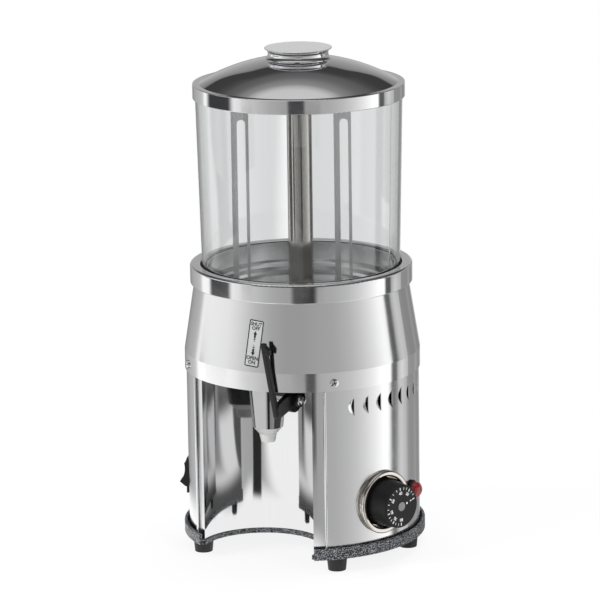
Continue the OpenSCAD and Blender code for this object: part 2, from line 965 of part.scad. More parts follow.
// The label on the cone beside the lever, set a little out of plumb
label_a = 3.6;
label_tilt = 5;
label_t = 0.4;
module tap_label() {
    foot_gap = 5.5;
    color("whitesmoke")
        intersection() {
            rotate_extrude()
                polygon([[band_r + seat_gap, cone_z], [band_r + seat_gap + label_t, cone_z],
                    [cone_top_r + seat_gap + label_t, collar_z], [cone_top_r + seat_gap, collar_z]]);
            outward(label_a, cone_z + foot_gap + label_h / 2)
                rotate([0, 0, -label_tilt])
                    translate([-label_w / 2, -label_h / 2, 0])
                        cube([label_w, label_h, band_r + cone_top_r]);
        }
}

module terminal_block() {
    ways = 4;
    way_w = 9;
    color("ivory")
        translate([-ways * way_w / 2 - 45, 45, floor_z])
            difference() {
                cube([ways * way_w, 18, 15]);
                for (i = [0:ways - 1])
                    translate([way_w * (i + 0.5), 9, 7])
                        rod(2.4, 0, 12);
            }
}

module cable_gland() {
    gland_r = gland_bore_d / 2;
    color("black")
        outward(180, floor_z + gland_z)
            difference() {
                union() {
                    rod(gland_r + 4, switch_seat - 14, 16);
                    translate([0, 0, switch_seat])
                        cylinder(r = gland_r + 8, h = 5, $fn = 6);
                    translate([0, 0, switch_seat + 5])
                        cylinder(r1 = gland_r + 6, r2 = gland_r + 3, h = 9);
                }
                rod(gland_r, switch_seat - 14 - cut, 28 + 2 * cut);
            }
}

module gland_nut() {
    gland_r = gland_bore_d / 2;
    color("black")
        outward(180, floor_z + gland_z)
            difference() {
                translate([0, 0, shell_in - 7])
                    cylinder(r = gland_r + 8, h = 5, $fn = 6);
                rod(gland_r + 4 + fit, shell_in - 7 - cut, 5 + 2 * cut);
            }
}

module bowl() {
    color("lightcyan", 0.4)
        rotate_extrude()
            polygon([[bowl_r - bowl_wall, bowl_z], [bowl_r, bowl_z], [bowl_top_r, bowl_top - 1],
                [bowl_top_r - 1, bowl_top], [bowl_top_r - bowl_wall + 1, bowl_top],
                [bowl_top_r - bowl_wall, bowl_top - 1]]);
}

module lid_rim() {
    color("lightgray")
        rotate_extrude() {
            soft2d(skirt_in, skirt_r, lid_z - skirt_h, lid_z, 0.7);
            band2d(dome_r - 2, skirt_r - 1.2, ledge_z, lid_z);
        }
}

module lid_dome() {
    color("gray")
        difference() {
            intersection() {
                translate([0, 0, dome_c])
                    sphere(r = dome_ball);
                rod(dome_r, lid_z, 2 * dome_rise);
            }
            translate([0, 0, dome_c])
                sphere(r = dome_ball - dome_t);
            rod(grip_screw_d / 2 + fit, lid_z, 2 * dome_rise);
        }
}

// The knob's turned side: a thin flat lip over a cove, and a foot that follows the dome
module grip_side() {
    head_t = 1.5;
    foot_r = grip_r - 1.2;
    foot_t = 0.8;
    cove_d = 2.6;
    cove_h = grip_top - head_t - grip_foot_z - foot_t;
    cove_r = (cove_h^2 / 4 + cove_d^2) / (2 * cove_d);
    soft2d(grip_r - 8, grip_r, grip_top - head_t, grip_top, 0.7);
    band2d(0, grip_r - 4, grip_top - head_t, grip_top);
    difference() {
        band2d(0, foot_r, dome_c, grip_top - head_t / 2);
        translate([foot_r - cove_d + cove_r, grip_foot_z + foot_t + cove_h / 2])
            circle(r = cove_r);
    }
}

module lid_knob() {
    color("lightgray")
        difference() {
            rotate_extrude()
                grip_side();
            translate([0, 0, dome_c])
                sphere(r = dome_ball + seat_gap);
            rod(grip_screw_d / 2 + fit, dome_c, grip_screw_z + grip_screw_l + 0.5 - dome_c);
        }
}

module lid_knob_screw() {
    color("silver")
        translate([0, 0, grip_screw_z])
            rotate([180, 0, 0])
                pan_screw(grip_screw_d, 3, grip_screw_d / 2, grip_screw_l);
}

module drive_shaft() {
    color("silver")
        rod(shaft_d / 2, shaft_foot, shaft_top - shaft_foot);
}

module agitator_tube() {
    color("silver")
        tube(stir_tube_d / 2, stir_tube_d / 2 - stir_wall, stir_foot, arm_z - stir_foot);
}

module agitator_cap() {
    color("silver")
        difference() {
            union() {
                rod(stem_r, stem_z, arm_z + arm_t + 1 - stem_z);
                translate([0, 0, arm_z + arm_t])
                    rotate_extrude() {
                        band2d(0, stir_tube_d / 2, 0, 5);
                        band2d(0, stir_tube_d / 2 - 3, 0, 8);
                    }
            }
            rod(shaft_d / 2 + fit, stem_z - cut, shaft_top - stem_z + cut + 0.2);
        }
}

module cross_arm() {
    color("silver")
        along_arm()
            translate([0, 0, arm_z])
                difference() {
                    linear_extrude(arm_t) {
                        translate([-wide_r, -arm_w / 2])
                            square([wide_r + near_r, arm_w]);
                        for (x = [-wide_r, near_r])
                            translate([x, 0])
                                circle(d = arm_w);
                    }
                    rod(stem_r + fit, -cut, arm_t + 2 * cut);
                }
}

// A paddle in the arm's frame: a flat strip with a long slot nearer to one edge
module paddle(x) {
    slot_x = x + slot_shift;
    slot_z0 = stir_foot + slot_foot;
    slot_z1 = arm_z - slot_head;
    color("silver")
        along_arm()
            difference() {
                translate([x - paddle_w / 2, -paddle_t / 2, stir_foot])
                    cube([paddle_w, paddle_t, arm_z - stir_foot]);
                translate([slot_x - slot_w / 2, -paddle_t, slot_z0])
                    cube([slot_w, 2 * paddle_t, slot_z1 - slot_z0]);
                for (z = [slot_z0, slot_z1])
                    translate([slot_x, 0, z])
                        rotate([90, 0, 0])
                            rod(slot_w / 2, -paddle_t, 2 * paddle_t);
            }
}

module wide_paddle() {
    paddle(-wide_r);
}

module near_paddle() {
    paddle(near_r);
}

// The lever's points beside the tap: the elbow of its arm and the top of its handle
bar_t = 6;
bar_w = 5.5;
bar_edge = 1.2;
corner = [hub_end - 3.5, -handle_y, -10];
grip_end = [hub_x - 3.2, -handle_y - 5.5, handle_h];

// A rounded bar between two points
module bar(from, to) {
    hull()
        for (p = [from, to], dx = [-1, 1], dy = [-1, 1])
            translate(p + [dx * (bar_w / 2 - bar_edge), dy * (bar_t / 2 - bar_edge), 0])
                sphere(r = bar_edge, $fn = 24);
}

// The lever's arm, seen from the side: from the hub's disc to the elbow under the handle
module arm_side() {
    hub_r = hub_d / 2;
    toe = bar_t / 2 - 0.6;
    polygon([[0, hub_r - 4], [-handle_y, 4], [-handle_y - toe, 1], [-handle_y - toe, -9], [-handle_y + 1, -11],
        [-hub_r, -8.5], [0, -8.5]]);
}

// The arm as a web that leans outwards, so that it clears the spout and ends in line with the handle
disc_t = 6.2;
module lever_arm() {
    root_x = hub_x + disc_t / 2;
    lean = asin((corner[0] - root_x) / handle_y);
    translate([root_x, 0, 0])
        rotate([0, 0, lean])
            translate([-bar_w / 2, 0, 0])
                rotate([90, 0, 90])
                    linear_extrude(bar_w)
                        arm_side();
}

module tap_lever() {
    neck_wall = 2;
    tab_w = 6.5;
    color("black")
        difference() {
            at_tap(plug_z) {
                rotate([0, 90, 0])
                    rotate_extrude() {
                        soft2d(0, hub_d / 2, hub_x, hub_x + disc_t, 1);
                        band2d(0, stub_r + neck_wall, hub_x + 1, hub_end);
                    }
                lever_arm();
                bar(corner + [0, 0, 2], grip_end);
                hull()
                    for (p = [[0, 0, 0], [0, 0, -9], [tab_w, 0, -6], [tab_w, 0, -10]], dy = [-1, 1])
                        translate(grip_end + p + [0, dy * (bar_t / 2 - bar_edge), 0])
                            sphere(r = bar_edge, $fn = 24);
            }
            at_plug()
                rod(stub_r + fit, 0, hub_end + cut);
        }
}

module valve_plug() {
    color("silver")
        difference() {
            at_plug() {
                rod(plug_r - run, plug_in + loose, boss_end - plug_in - 2 * loose);
                rod(stub_r, plug_in + 1, hub_end - 1 - plug_in);
            }
            at_tap(plug_z)
                rotate([-lever_turn, 0, 0])
                    rod(flow_d / 2, -plug_d, 2 * plug_d);
            at_plug() {
                tube(plug_r + 1, plug_r - groove_d, -groove_w / 2, groove_w);
                for (x = seal_x)
                    tube(plug_r + 1, plug_r - groove_d, x - 1.1, 2.2);
                rod(lever_screw_d / 2 + fit, hub_end - lever_screw_l, lever_screw_l + cut);
            }
        }
}

// The two rubber rings in the plug's grooves
seal_x = [plug_in + 2.1, boss_end - 5];
module plug_seals() {
    color("black")
        at_plug()
            for (x = seal_x)
                tube(plug_r - run, plug_r - groove_d + fit, x - 1, 2);
}

lever_screw_d = 5;
lever_screw_l = 14;
module lever_screw() {
    washer_t = 1.2;
    color("silver")
        at_plug() {
            tube(stub_r + 1, lever_screw_d / 2, hub_end + seat_gap, washer_t);
            translate([0, 0, hub_end + seat_gap + washer_t])
                pan_screw(lever_screw_d + 0.8, 4, lever_screw_d / 2, lever_screw_l);
        }
}

module thermostat_knob() {
    foot_r = stat_knob_d / 2;
    face_r = foot_r - 3;
    color("black")
        outward(stat_a, floor_z + stat_z)
            difference() {
                union() {
                    translate([0, 0, knob_back])
                        cylinder(r1 = foot_r, r2 = face_r, h = knob_face - knob_back - 2);
                    rotate_extrude()
                        difference() {
                            soft2d(-face_r, face_r, knob_face - 5, knob_face, 2);
                            band2d(-2 * face_r, 0, 0, 2 * knob_face);
                        }
                }
                rod(stat_shaft_r + fit, knob_back - cut, knob_face - knob_back - 10);
                rod(4.8 + fit, knob_face - 0.8, 2);
            }
}

module thermostat_shaft() {
    color("silver")
        outward(stat_a, floor_z + stat_z)
            rod(stat_shaft_r, stat_back - 12, knob_face - 11.5 - stat_back + 12);
}

module knob_cap() {
    color("silver")
        outward(stat_a, floor_z + stat_z)
            rod(4.8, knob_face - 0.8 + seat_gap, 1);
}

base_casting();
rubber_feet();
foot_screws();
tie_posts();
bay_liner();
deck_plate();
outer_shell();
shoulder_cover();
shoulder_screws();
collar_ring();
water_tank();
heating_element();
heating_pan();
seat_ring();
column_tube();
lower_bush();
upper_bush();
outlet_tube();
bowl_gasket();
gear_motor();
motor_screws();
tap_body();
tap_nut();
nozzle();
plug_stop_screw();
thermostat_bezel();
thermostat_body();
thermostat_bulb();
pilot_bezel();
pilot_lens();
switch_frame();
tap_label();
terminal_block();
cable_gland();
gland_nut();
bowl();
lid_rim();
lid_dome();
lid_knob();
lid_knob_screw();
drive_shaft();
agitator_tube();
agitator_cap();
cross_arm();
wide_paddle();
near_paddle();
tap_lever();
valve_plug();
plug_seals();
lever_screw();
thermostat_knob();
thermostat_shaft();
knob_cap();
switch_rocker();
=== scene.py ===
"""Looks of the round hot drink dispenser: finishes, printed marks, small fittings and the photo studio."""

import json
import math

import bmesh
import bpy
from mathutils import Matrix, Vector


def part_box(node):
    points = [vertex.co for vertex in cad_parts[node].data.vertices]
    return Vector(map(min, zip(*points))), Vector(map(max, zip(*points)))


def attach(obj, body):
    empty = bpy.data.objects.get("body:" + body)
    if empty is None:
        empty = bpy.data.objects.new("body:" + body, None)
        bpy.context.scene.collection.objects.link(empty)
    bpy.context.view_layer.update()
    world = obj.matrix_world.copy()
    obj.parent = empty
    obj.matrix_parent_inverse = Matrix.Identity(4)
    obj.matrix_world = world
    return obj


bl_info = {
    "name": "Hot Drink Dispenser Looks",
    "version": (1, 0, 0),
    "blender": (4, 5, 0),
    "location": "View3D > Sidebar > Dispenser",
    "description": "Finishes, marks and studio for the round hot drink dispenser",
    "category": "Object",
}

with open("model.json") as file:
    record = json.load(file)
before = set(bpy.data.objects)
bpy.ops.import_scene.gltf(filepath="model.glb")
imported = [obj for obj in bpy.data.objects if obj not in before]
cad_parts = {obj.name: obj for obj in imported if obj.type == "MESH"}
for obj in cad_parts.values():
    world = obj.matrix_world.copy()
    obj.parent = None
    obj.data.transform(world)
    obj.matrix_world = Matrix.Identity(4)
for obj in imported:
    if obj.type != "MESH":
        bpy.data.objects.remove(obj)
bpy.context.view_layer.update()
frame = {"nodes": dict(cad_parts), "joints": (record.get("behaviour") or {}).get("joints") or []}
NODES = frame["nodes"]
MM = 0.001

# Angles about the machine's axis are in degrees from the front towards +X
DIAL_JOINT = next(joint for joint in frame["joints"] if joint["name"] == "thermostat_turn")
DIAL_ANGLE = math.degrees(math.atan2(DIAL_JOINT["axis"][0], -DIAL_JOINT["axis"][1]))
DIAL_HEIGHT = DIAL_JOINT["pos_m"][2]

# The shoulder is a cone over an upright band, with screws in the band and the label on the cone
SHOULDER_LOW, SHOULDER_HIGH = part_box("shoulder_cover")
BAND_HEIGHT = 20.0 * MM
BAND_RADIUS, BAND_TOP = SHOULDER_HIGH[0], SHOULDER_LOW[2] + BAND_HEIGHT
CONE_RADIUS, CONE_TOP = 114.5 * MM, SHOULDER_HIGH[2]
SCREW_ANGLES = [43.0 + 90.0 * k for k in range(-2, 2)]
SCREW_DOME_MM = 8.8
LABEL_HEIGHT = sum(corner[2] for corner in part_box("tap_label")) / 2
LABEL_ANGLE, LABEL_TILT = 3.6, 5.0

# How far the marks lie over the cone, the knob's face and the screw heads
LABEL_LIFT, DIAL_LIFT, RECESS_LIFT = 0.52 * MM, 0.04 * MM, 0.03 * MM

# Heights and depths where a finish changes: the drink's film on the tube, and the depth behind which the
# spout's back is darkened as painted shade
FILM_TOP = 337.0 * MM
SPOUT_BACK = -78.0 * MM

# Colours of the small, inner and printed pieces
ZINC = (0.55, 0.55, 0.56)
BRASS = (0.62, 0.46, 0.20)
COPPER = (0.60, 0.34, 0.22)
NICKEL = (0.70, 0.66, 0.61)
IVORY = (0.62, 0.56, 0.42)
TUBE_GREY = (0.50, 0.49, 0.465)
HEATER_GREY = (0.30, 0.29, 0.28)
MOTOR_GREY = (0.10, 0.105, 0.11)
# The deck's near-black is painted shade for its shaded underside
DECK_SHADE = (0.07, 0.07, 0.072)
CAP_GREY = (0.34, 0.34, 0.35)
# The recesses' dark is painted shade
RECESS_SHADE = (0.05, 0.05, 0.052)
FILM_PALE = (0.5, 0.505, 0.505)
DIAL_PALE = (0.72, 0.73, 0.72)
INK = (0.012, 0.012, 0.013)

# Colours of the stage: the floor, the floor through the bowl, and what metal shows of floor and cards
WHITE = (1.0, 1.0, 1.0)
FLOOR_PLAIN, FLOOR_THROUGH = (0.94, 0.94, 0.94), (0.74, 0.745, 0.75)
FLOOR_LIT, FLOOR_DIM, FLOOR_DARK = (1.15, 1.15, 1.15), (0.13, 0.13, 0.13), (0.03, 0.03, 0.03)
CARD_DARK = (0.05, 0.05, 0.052)

# The camera as fitted to the photograph, in pixels, degrees and metres
PHOTO_WIDTH, FOCAL_LENGTH = 600.0, 3856.0
CAMERA_TURN, CAMERA_YAW, CAMERA_PITCH, CAMERA_ROLL = 28.0, 0.026, 13.136, 0.844
CAMERA_AWAY, CAMERA_HEIGHT = 4.0114, 1.2030
SENSOR_WIDTH = 36.0

# The stage's sizes and the point that its lamps face, in metres
TENT_RADIUS, CARD_RADIUS, FLOOR_REACH = 8.0, 7.6, 9.0
LAMP_AIM = Vector((0.0, 0.0, 0.22))


class Channel:
    """A shader socket that takes part in Python arithmetic: each operator adds a Math node."""

    def __init__(self, finish, socket):
        self.finish = finish
        self.socket = socket

    def _math(self, operation, first, second=0.0):
        return self.finish.node("ShaderNodeMath", {"operation": operation}, {0: first, 1: second})

    def __add__(self, other):
        return self._math("ADD", self, other)

    __radd__ = __add__

    def __sub__(self, other):
        return self._math("SUBTRACT", self, other)

    def __rsub__(self, other):
        return self._math("SUBTRACT", other, self)

    def __mul__(self, other):
        return self._math("MULTIPLY", self, other)

    __rmul__ = __mul__

    def __truediv__(self, other):
        return self._math("DIVIDE", self, other)

    def __pow__(self, other):
        return self._math("POWER", self, other)

    def __or__(self, other):
        return self._math("MAXIMUM", self, other)

    def __and__(self, other):
        return self._math("MINIMUM", self, other)

    def sine(self):
        return self._math("SINE", self)

    def arcsine(self):
        return self._math("ARCSINE", self)

    def arctangent(self, other):
        """The angle whose tangent is this over the other, all the way round."""
        return self._math("ARCTAN2", self, other)

    def smooth(self, low, high):
        """0 below low, 1 above high and an even ramp between them."""
        return self.finish.node(
            "ShaderNodeMapRange",
            {"interpolation_type": "SMOOTHSTEP"},
            {"Value": self, "From Min": low, "From Max": high},
        )

    def fade(self, low, high):
        """1 below low, 0 above high and an even ramp between them."""
        return 1.0 - self.smooth(low, high)


class Finish:
    """One node tree, of a material or the world. Any node comes from node()."""

    def __init__(self, name, tree=None):
        self.material = None
        if tree is None:
            self.material = bpy.data.materials.new(name)
            self.material.use_nodes = True
            tree = self.material.node_tree
        self.tree = tree
        self.tree.nodes.clear()

    def node(self, kind, settings=None, inputs=None, output=0):
        """Adds a node: its settings first, then its sockets' values or links. Gives one of its outputs."""
        made = self.tree.nodes.new(kind)
        for key, value in (settings or {}).items():
            if key == "stops":
                self._set_stops(made.color_ramp, value)
            else:
                setattr(made, key, value)
        for key, value in (inputs or {}).items():
            if isinstance(value, Channel):
                self.tree.links.new(value.socket, made.inputs[key])
            else:
                made.inputs[key].default_value = value
        return Channel(self, made.outputs[output]) if made.outputs else None

    @staticmethod
    def _set_stops(ramp, stops):
        while len(ramp.elements) < len(stops):
            ramp.elements.new(1.0)
        for element, (place, value) in zip(ramp.elements, stops):
            element.position = place
            element.color = (value, value, value, 1.0)

    def place(self, stretch=(1.0, 1.0, 1.0)):
        """The point on the object in metres, stretched along each axis."""
        point = self.node("ShaderNodeTexCoord", output="Object")
        return self.node("ShaderNodeMapping", None, {"Vector": point, "Scale": stretch})

    def axes(self):
        """The point's X, Y and Z in metres."""
        split = self.node("ShaderNodeSeparateXYZ", None, {0: self.place()}).socket.node
        return [Channel(self, socket) for socket in split.outputs]

    def noise(self, scale, detail=3.0, rough=0.5, stretch=(1.0, 1.0, 1.0)):
        return self.node(
            "ShaderNodeTexNoise",
            None,
            {"Vector": self.place(stretch), "Scale": scale, "Detail": detail, "Roughness": rough},
        )

    def mix(self, factor, first, second):
        """Blends two colours."""
        first, second = [(*c, 1.0) if isinstance(c, tuple) and len(c) == 3 else c for c in (first, second)]
        return self.node("ShaderNodeMix", {"data_type": "RGBA"}, {0: factor, 6: first, 7: second}, output=2)

    def blend(self, factor, first, second):
        """Blends two shaders."""
        return self.node("ShaderNodeMixShader", None, {0: factor, 1: first, 2: second})

    def glow(self, colour):
        """Light of a colour, for the stage."""
        return self.node("ShaderNodeEmission", None, {"Color": colour, "Strength": 1.0})

    def bump(self, height, strength, distance):
        inputs = {"Height": height, "Strength": strength, "Distance": distance}
        return self.node("ShaderNodeBump", None, inputs)

    def ray(self, kind):
        """What Light Path says of the ray that meets the surface."""
        return self.node("ShaderNodeLightPath", output=kind)

    def seen(self):
        """1 for rays that show the surface: from the camera, off metal or through clear plastic."""
        return self.ray("Is Camera Ray") | self.ray("Is Glossy Ray") | self.ray("Is Transmission Ray")

    def turned(self, times):
        """1 for rays that metal has turned at least so many times."""
        return (self.ray("Glossy Depth") - (times - 1.0) | 0.0) & 1.0

    def surface(self, **sockets):
        """Makes the principled shader the surface. Its sockets' names are written with underscores."""
        inputs = {key.replace("_", " "): value for key, value in sockets.items()}
        return self.output(self.node("ShaderNodeBsdfPrincipled", None, inputs))

    def output(self, shader):
        kind = "ShaderNodeOutputMaterial" if self.material else "ShaderNodeOutputWorld"
        self.node(kind, None, {"Surface": shader})
        return self.material


def tint(colour, factor=1.0):
    return (colour[0] * factor, colour[1] * factor, colour[2] * factor, 1.0)


def spun_metal(name, colour, rough, grain, band=None):
    """Sheet metal with fine lines round the body and faint handling marks, painted paler below the top of a
    band as a painted highlight.
    """
    finish = Finish(name)
    lines = finish.noise(1.0, detail=5.0, rough=0.65, stretch=(14.0, 14.0, 2600.0))
    smudge = finish.noise(16.0, detail=4.0, rough=0.6).smooth(0.46, 0.72)
    shade = finish.mix(lines, tint(colour, 0.95), tint(colour, 1.03))
    # painted highlight: the colour below the top of the band is made paler
    if band is not None:
        height = finish.axes()[2]
        shade = finish.mix(height.smooth(band - 0.6 * MM, band + 0.6 * MM), tint(colour, 1.2), shade)
    return finish.surface(
        Base_Color=shade,
        Metallic=1.0,
        Roughness=rough + grain * (lines - 0.5) + 0.04 * smudge,
        Normal=finish.bump(lines, strength=0.06, distance=0.03 * MM),
    )


def upright_metal(name, colour, rough, grain, film=None):
    """Sheet metal with fine upright lines and faint handling marks, under a film of drink below a height."""
    finish = Finish(name)
    lines = finish.noise(1.0, detail=4.0, rough=0.6, stretch=(1500.0, 1500.0, 9.0))
    smudge = finish.noise(12.0, detail=4.0, rough=0.6).smooth(0.48, 0.75)
    bare = 1.0
    if film is not None:
        height = finish.axes()[2]
        bare = 0.7 + 0.3 * height.smooth(film - 6.0 * MM, film + 2.0 * MM)
    return finish.surface(
        Base_Color=finish.mix(lines, tint(colour, 0.96), tint(colour, 1.02)),
        Metallic=bare,
        Roughness=rough + grain * (lines - 0.5) + 0.03 * smudge,
        Normal=finish.bump(lines, strength=0.05, distance=0.03 * MM),
    )


def plated_metal(name, colour, rough):
    """Polished plating with a trace of dust and wiping."""
    finish = Finish(name)
    wipe = finish.noise(60.0, detail=4.0, rough=0.6, stretch=(1.0, 1.0, 4.0))
    dust = finish.noise(900.0, detail=2.0).smooth(0.62, 0.75)
    return finish.surface(
        Base_Color=finish.mix(dust, tint(colour), tint(colour, 0.94)),
        Metallic=1.0,
        Roughness=rough + 0.035 * wipe + 0.05 * dust,
    )


def polished_casting(name, colour, rough, back):
    """Casting that is polished in front, and rougher behind a depth, where its colour is darkened as painted
    shade.
    """
    finish = Finish(name)
    depth = finish.axes()[1]
    # painted shade: behind the depth the colour is darkened and the roughness raised
    back_shade = depth.smooth(back - 4.0 * MM, back + 6.0 * MM)
    grit = finish.noise(700.0, rough=0.6)
    return finish.surface(
        Base_Color=finish.mix(back_shade, tint(colour), tint(colour, 0.12)),
        Metallic=1.0,
        Roughness=rough + 0.03 * grit + 0.25 * back_shade,
        Normal=finish.bump(grit, strength=0.02, distance=0.02 * MM),
    )


def spun_pan(name, colour, rough):
    """Spun dish with fine rings round its middle, in a colour raised above the steel's as painted light."""
    finish = Finish(name)
    x, y, _ = finish.axes()
    away = (x * x + y * y) ** 0.5
    rings = (away * 700.0).sine() * 0.5 + 0.5
    smudge = finish.noise(16.0, detail=4.0, rough=0.6).smooth(0.46, 0.72)
    # painted light: the steel's colour is raised by a fifth and more, the spun rings varying it
    return finish.surface(
        Base_Color=finish.mix(rings, tint(colour, 1.18), tint(colour, 1.28)),
        Metallic=1.0,
        Roughness=rough + 0.05 * rings + 0.05 * smudge,
    )


def turned_knob(name, colour, rough, top):
    """Polished turning whose flat top is left satin."""
    finish = Finish(name)
    height = finish.axes()[2]
    satin = height.smooth(top - 0.6 * MM, top - 0.2 * MM)
    rings = finish.noise(420.0, rough=0.6)
    return finish.surface(
        Base_Color=finish.mix(rings, tint(colour, 0.97), tint(colour, 1.03)),
        Metallic=1.0 - 0.4 * satin,
        Roughness=rough + (0.26 + 0.06 * rings) * satin,
    )


def hammered_enamel(name, colour):
    """Hammer-finish enamel: dark paint full of fine pale flecks."""
    finish = Finish(name)
    grit = finish.noise(930.0, detail=1.0)
    drift = finish.noise(240.0, detail=2.0)
    fleck = (grit + 0.2 * (drift - 0.5)).smooth(0.5, 0.61)
    return finish.surface(
        Base_Color=finish.mix(fleck, tint(colour, 0.22), tint(colour, 4.2)),
        Roughness=0.42 - 0.14 * fleck,
        Metallic=0.3,
        Normal=finish.bump(fleck, strength=0.5, distance=0.3 * MM),
    )


def moulded_plastic(name, colour, rough, pebble=1400.0, depth=0.15, gloss=0.5):
    """Moulded plastic with a fine pebbled grain, faintly clouded."""
    finish = Finish(name)
    grain = finish.noise(pebble, rough=0.6)
    cloud = finish.noise(25.0)
    return finish.surface(
        Base_Color=finish.mix(cloud, tint(colour, 0.85), tint(colour, 1.15)),
        Roughness=rough + 0.12 * (grain - 0.5) + 0.06 * (cloud - 0.5),
        Specular_IOR_Level=gloss,
        Normal=finish.bump(grain, strength=depth, distance=0.08 * MM),
    )


def rubber(name, colour):
    """Matt rubber with paler scuffs."""
    finish = Finish(name)
    grain = finish.noise(800.0, detail=4.0, rough=0.7)
    scuff = finish.noise(90.0, rough=0.6).smooth(0.55, 0.8)
    return finish.surface(
        Base_Color=finish.mix(scuff, tint(colour), tint(colour, 2.2)),
        Roughness=0.55 + 0.15 * scuff,
        Normal=finish.bump(grain, strength=0.2, distance=0.1 * MM),
    )


def clear_plastic(name, colour):
    """Clear wall with the faintest haze of washing."""
    finish = Finish(name)
    haze = finish.noise(40.0, detail=4.0, rough=0.6, stretch=(1.0, 1.0, 0.3)).smooth(0.5, 0.9)
    return finish.surface(
        Base_Color=tint(colour),
        Transmission_Weight=1.0,
        IOR=1.47,
        Roughness=0.004 + 0.02 * haze,
    )


def lamp_lens(name, colour):
    """Clear tinted plastic with faint moulding waves."""
    finish = Finish(name)
    waves = finish.noise(420.0, detail=2.0)
    return finish.surface(
        Base_Color=finish.mix(waves, tint(colour, 0.75), tint(colour, 1.25)),
        Roughness=0.05 + 0.05 * waves,
        Transmission_Weight=0.45,
        Coat_Weight=0.8,
        Normal=finish.bump(waves, strength=0.25, distance=0.4 * MM),
    )


def printed_film(name, colour):
    """Smooth film with a slight sheen."""
    finish = Finish(name)
    sheen = finish.noise(700.0, detail=2.0)
    return finish.surface(
        Base_Color=finish.mix(sheen, tint(colour, 0.96), tint(colour)),
        Roughness=0.35 + 0.1 * sheen,
    )


def put_on(material, *names):
    """Gives CAD nodes a finish."""
    for name in names:
        mesh = NODES[name].data
        mesh.materials.clear()
        mesh.materials.append(material)


def add_piece(name, mesh, material, body):
    """Shows a new mesh as a piece that moves with a body."""
    mesh.materials.append(material)
    piece = bpy.data.objects.new(name, mesh)
    bpy.context.scene.collection.objects.link(piece)
    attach(piece, body)


def outward(angle, height):
    """The frame at an angle and a height: X along the body, Y up and Z away from the machine's axis."""
    return (
        Matrix.Rotation(math.radians(angle), 4, "Z")
        @ Matrix.Translation((0.0, 0.0, height))
        @ Matrix.Rotation(math.radians(90.0), 4, "X")
    )


def reach(name, place):
    """How far a node stands out along the Z of a frame."""
    inward = place.inverted()
    return max((inward @ vertex.co).z for vertex in NODES[name].data.vertices)


def on_ring(radius, turn):
    """The point of a circle at a turn in degrees, anticlockwise from the top."""
    return (-radius * math.sin(math.radians(turn)), radius * math.cos(math.radians(turn)))


def words(text, size, bold=0.03):
    """Flat outlines of a text, centred on the origin, as points and faces in the size's unit."""
    curve = bpy.data.curves.new("words", "FONT")
    curve.body = text
    curve.size = size
    curve.offset = bold * size
    curve.align_x = "CENTER"
    curve.align_y = "CENTER"
    curve.resolution_u = 3
    holder = bpy.data.objects.new("words", curve)
    bpy.context.scene.collection.objects.link(holder)
    bpy.context.view_layer.update()
    mesh = bpy.data.meshes.new_from_object(holder)
    points = [tuple(vertex.co) for vertex in mesh.vertices]
    faces = [tuple(polygon.vertices) for polygon in mesh.polygons]
    bpy.data.objects.remove(holder)
    bpy.data.curves.remove(curve)
    bpy.data.meshes.remove(mesh)
    return points, faces


class Print:
    """Flat marks in one mesh. A function lays each point, in millimetres across and up, on a surface."""

    def __init__(self, lay=None):
        self.lay = lay
        self.points = []
        self.faces = []

    def add(self, points, faces, move=(0.0, 0.0), turn=0.0):
        first = len(self.points)
        c, s = math.cos(math.radians(turn)), math.sin(math.radians(turn))
        for x, y, *_ in points:
            self.points.append(self.lay(move[0] + c * x - s * y, move[1] + s * x + c * y))
        self.faces += [tuple(first + i for i in face) for face in faces]

    def bar(self, width, length, move=(0.0, 0.0), turn=0.0, parts=1):
        """A straight stroke, in several parts where it has to follow a curved surface."""
        half, step = width / 2, length / parts
        points = [(x, i * step - length / 2) for i in range(parts + 1) for x in (-half, half)]
        self.add(points, [(2 * i, 2 * i + 1, 2 * i + 3, 2 * i + 2) for i in range(parts)], move, turn)

    def frame(self, width, height, line, corner, steps=6, longest=2.0):
        """A rounded rectangular outline, with points close enough to follow a curved surface."""
        rings = []
        for inset in (0.0, line):
            r = max(corner - inset, 0.1)
            w, h = width / 2 - inset - r, height / 2 - inset - r
            ring = []
            for k, (x, y) in enumerate(((w, h), (-w, h), (-w, -h), (w, -h))):
                for i in range(steps + 1):
                    a = math.radians(90 * (k + i / steps))
                    ring.append(Vector((x + r * math.cos(a), y + r * math.sin(a))))
            rings.append(ring)
        outer, inner = [], []
        for i, end in enumerate(rings[0]):
            parts = math.ceil((end - rings[0][i - 1]).length / longest)
            for part in range(1, parts + 1):
                outer.append(rings[0][i - 1].lerp(end, part / parts))
                inner.append(rings[1][i - 1].lerp(rings[1][i], part / parts))
        n = len(outer)
        self.add(outer + inner, [(i, (i + 1) % n, n + (i + 1) % n, n + i) for i in range(n)])

    def mesh(self, name):
        made = bpy.data.meshes.new(name)
        made.from_pydata(self.points, [], self.faces)
        made.update()
        return made


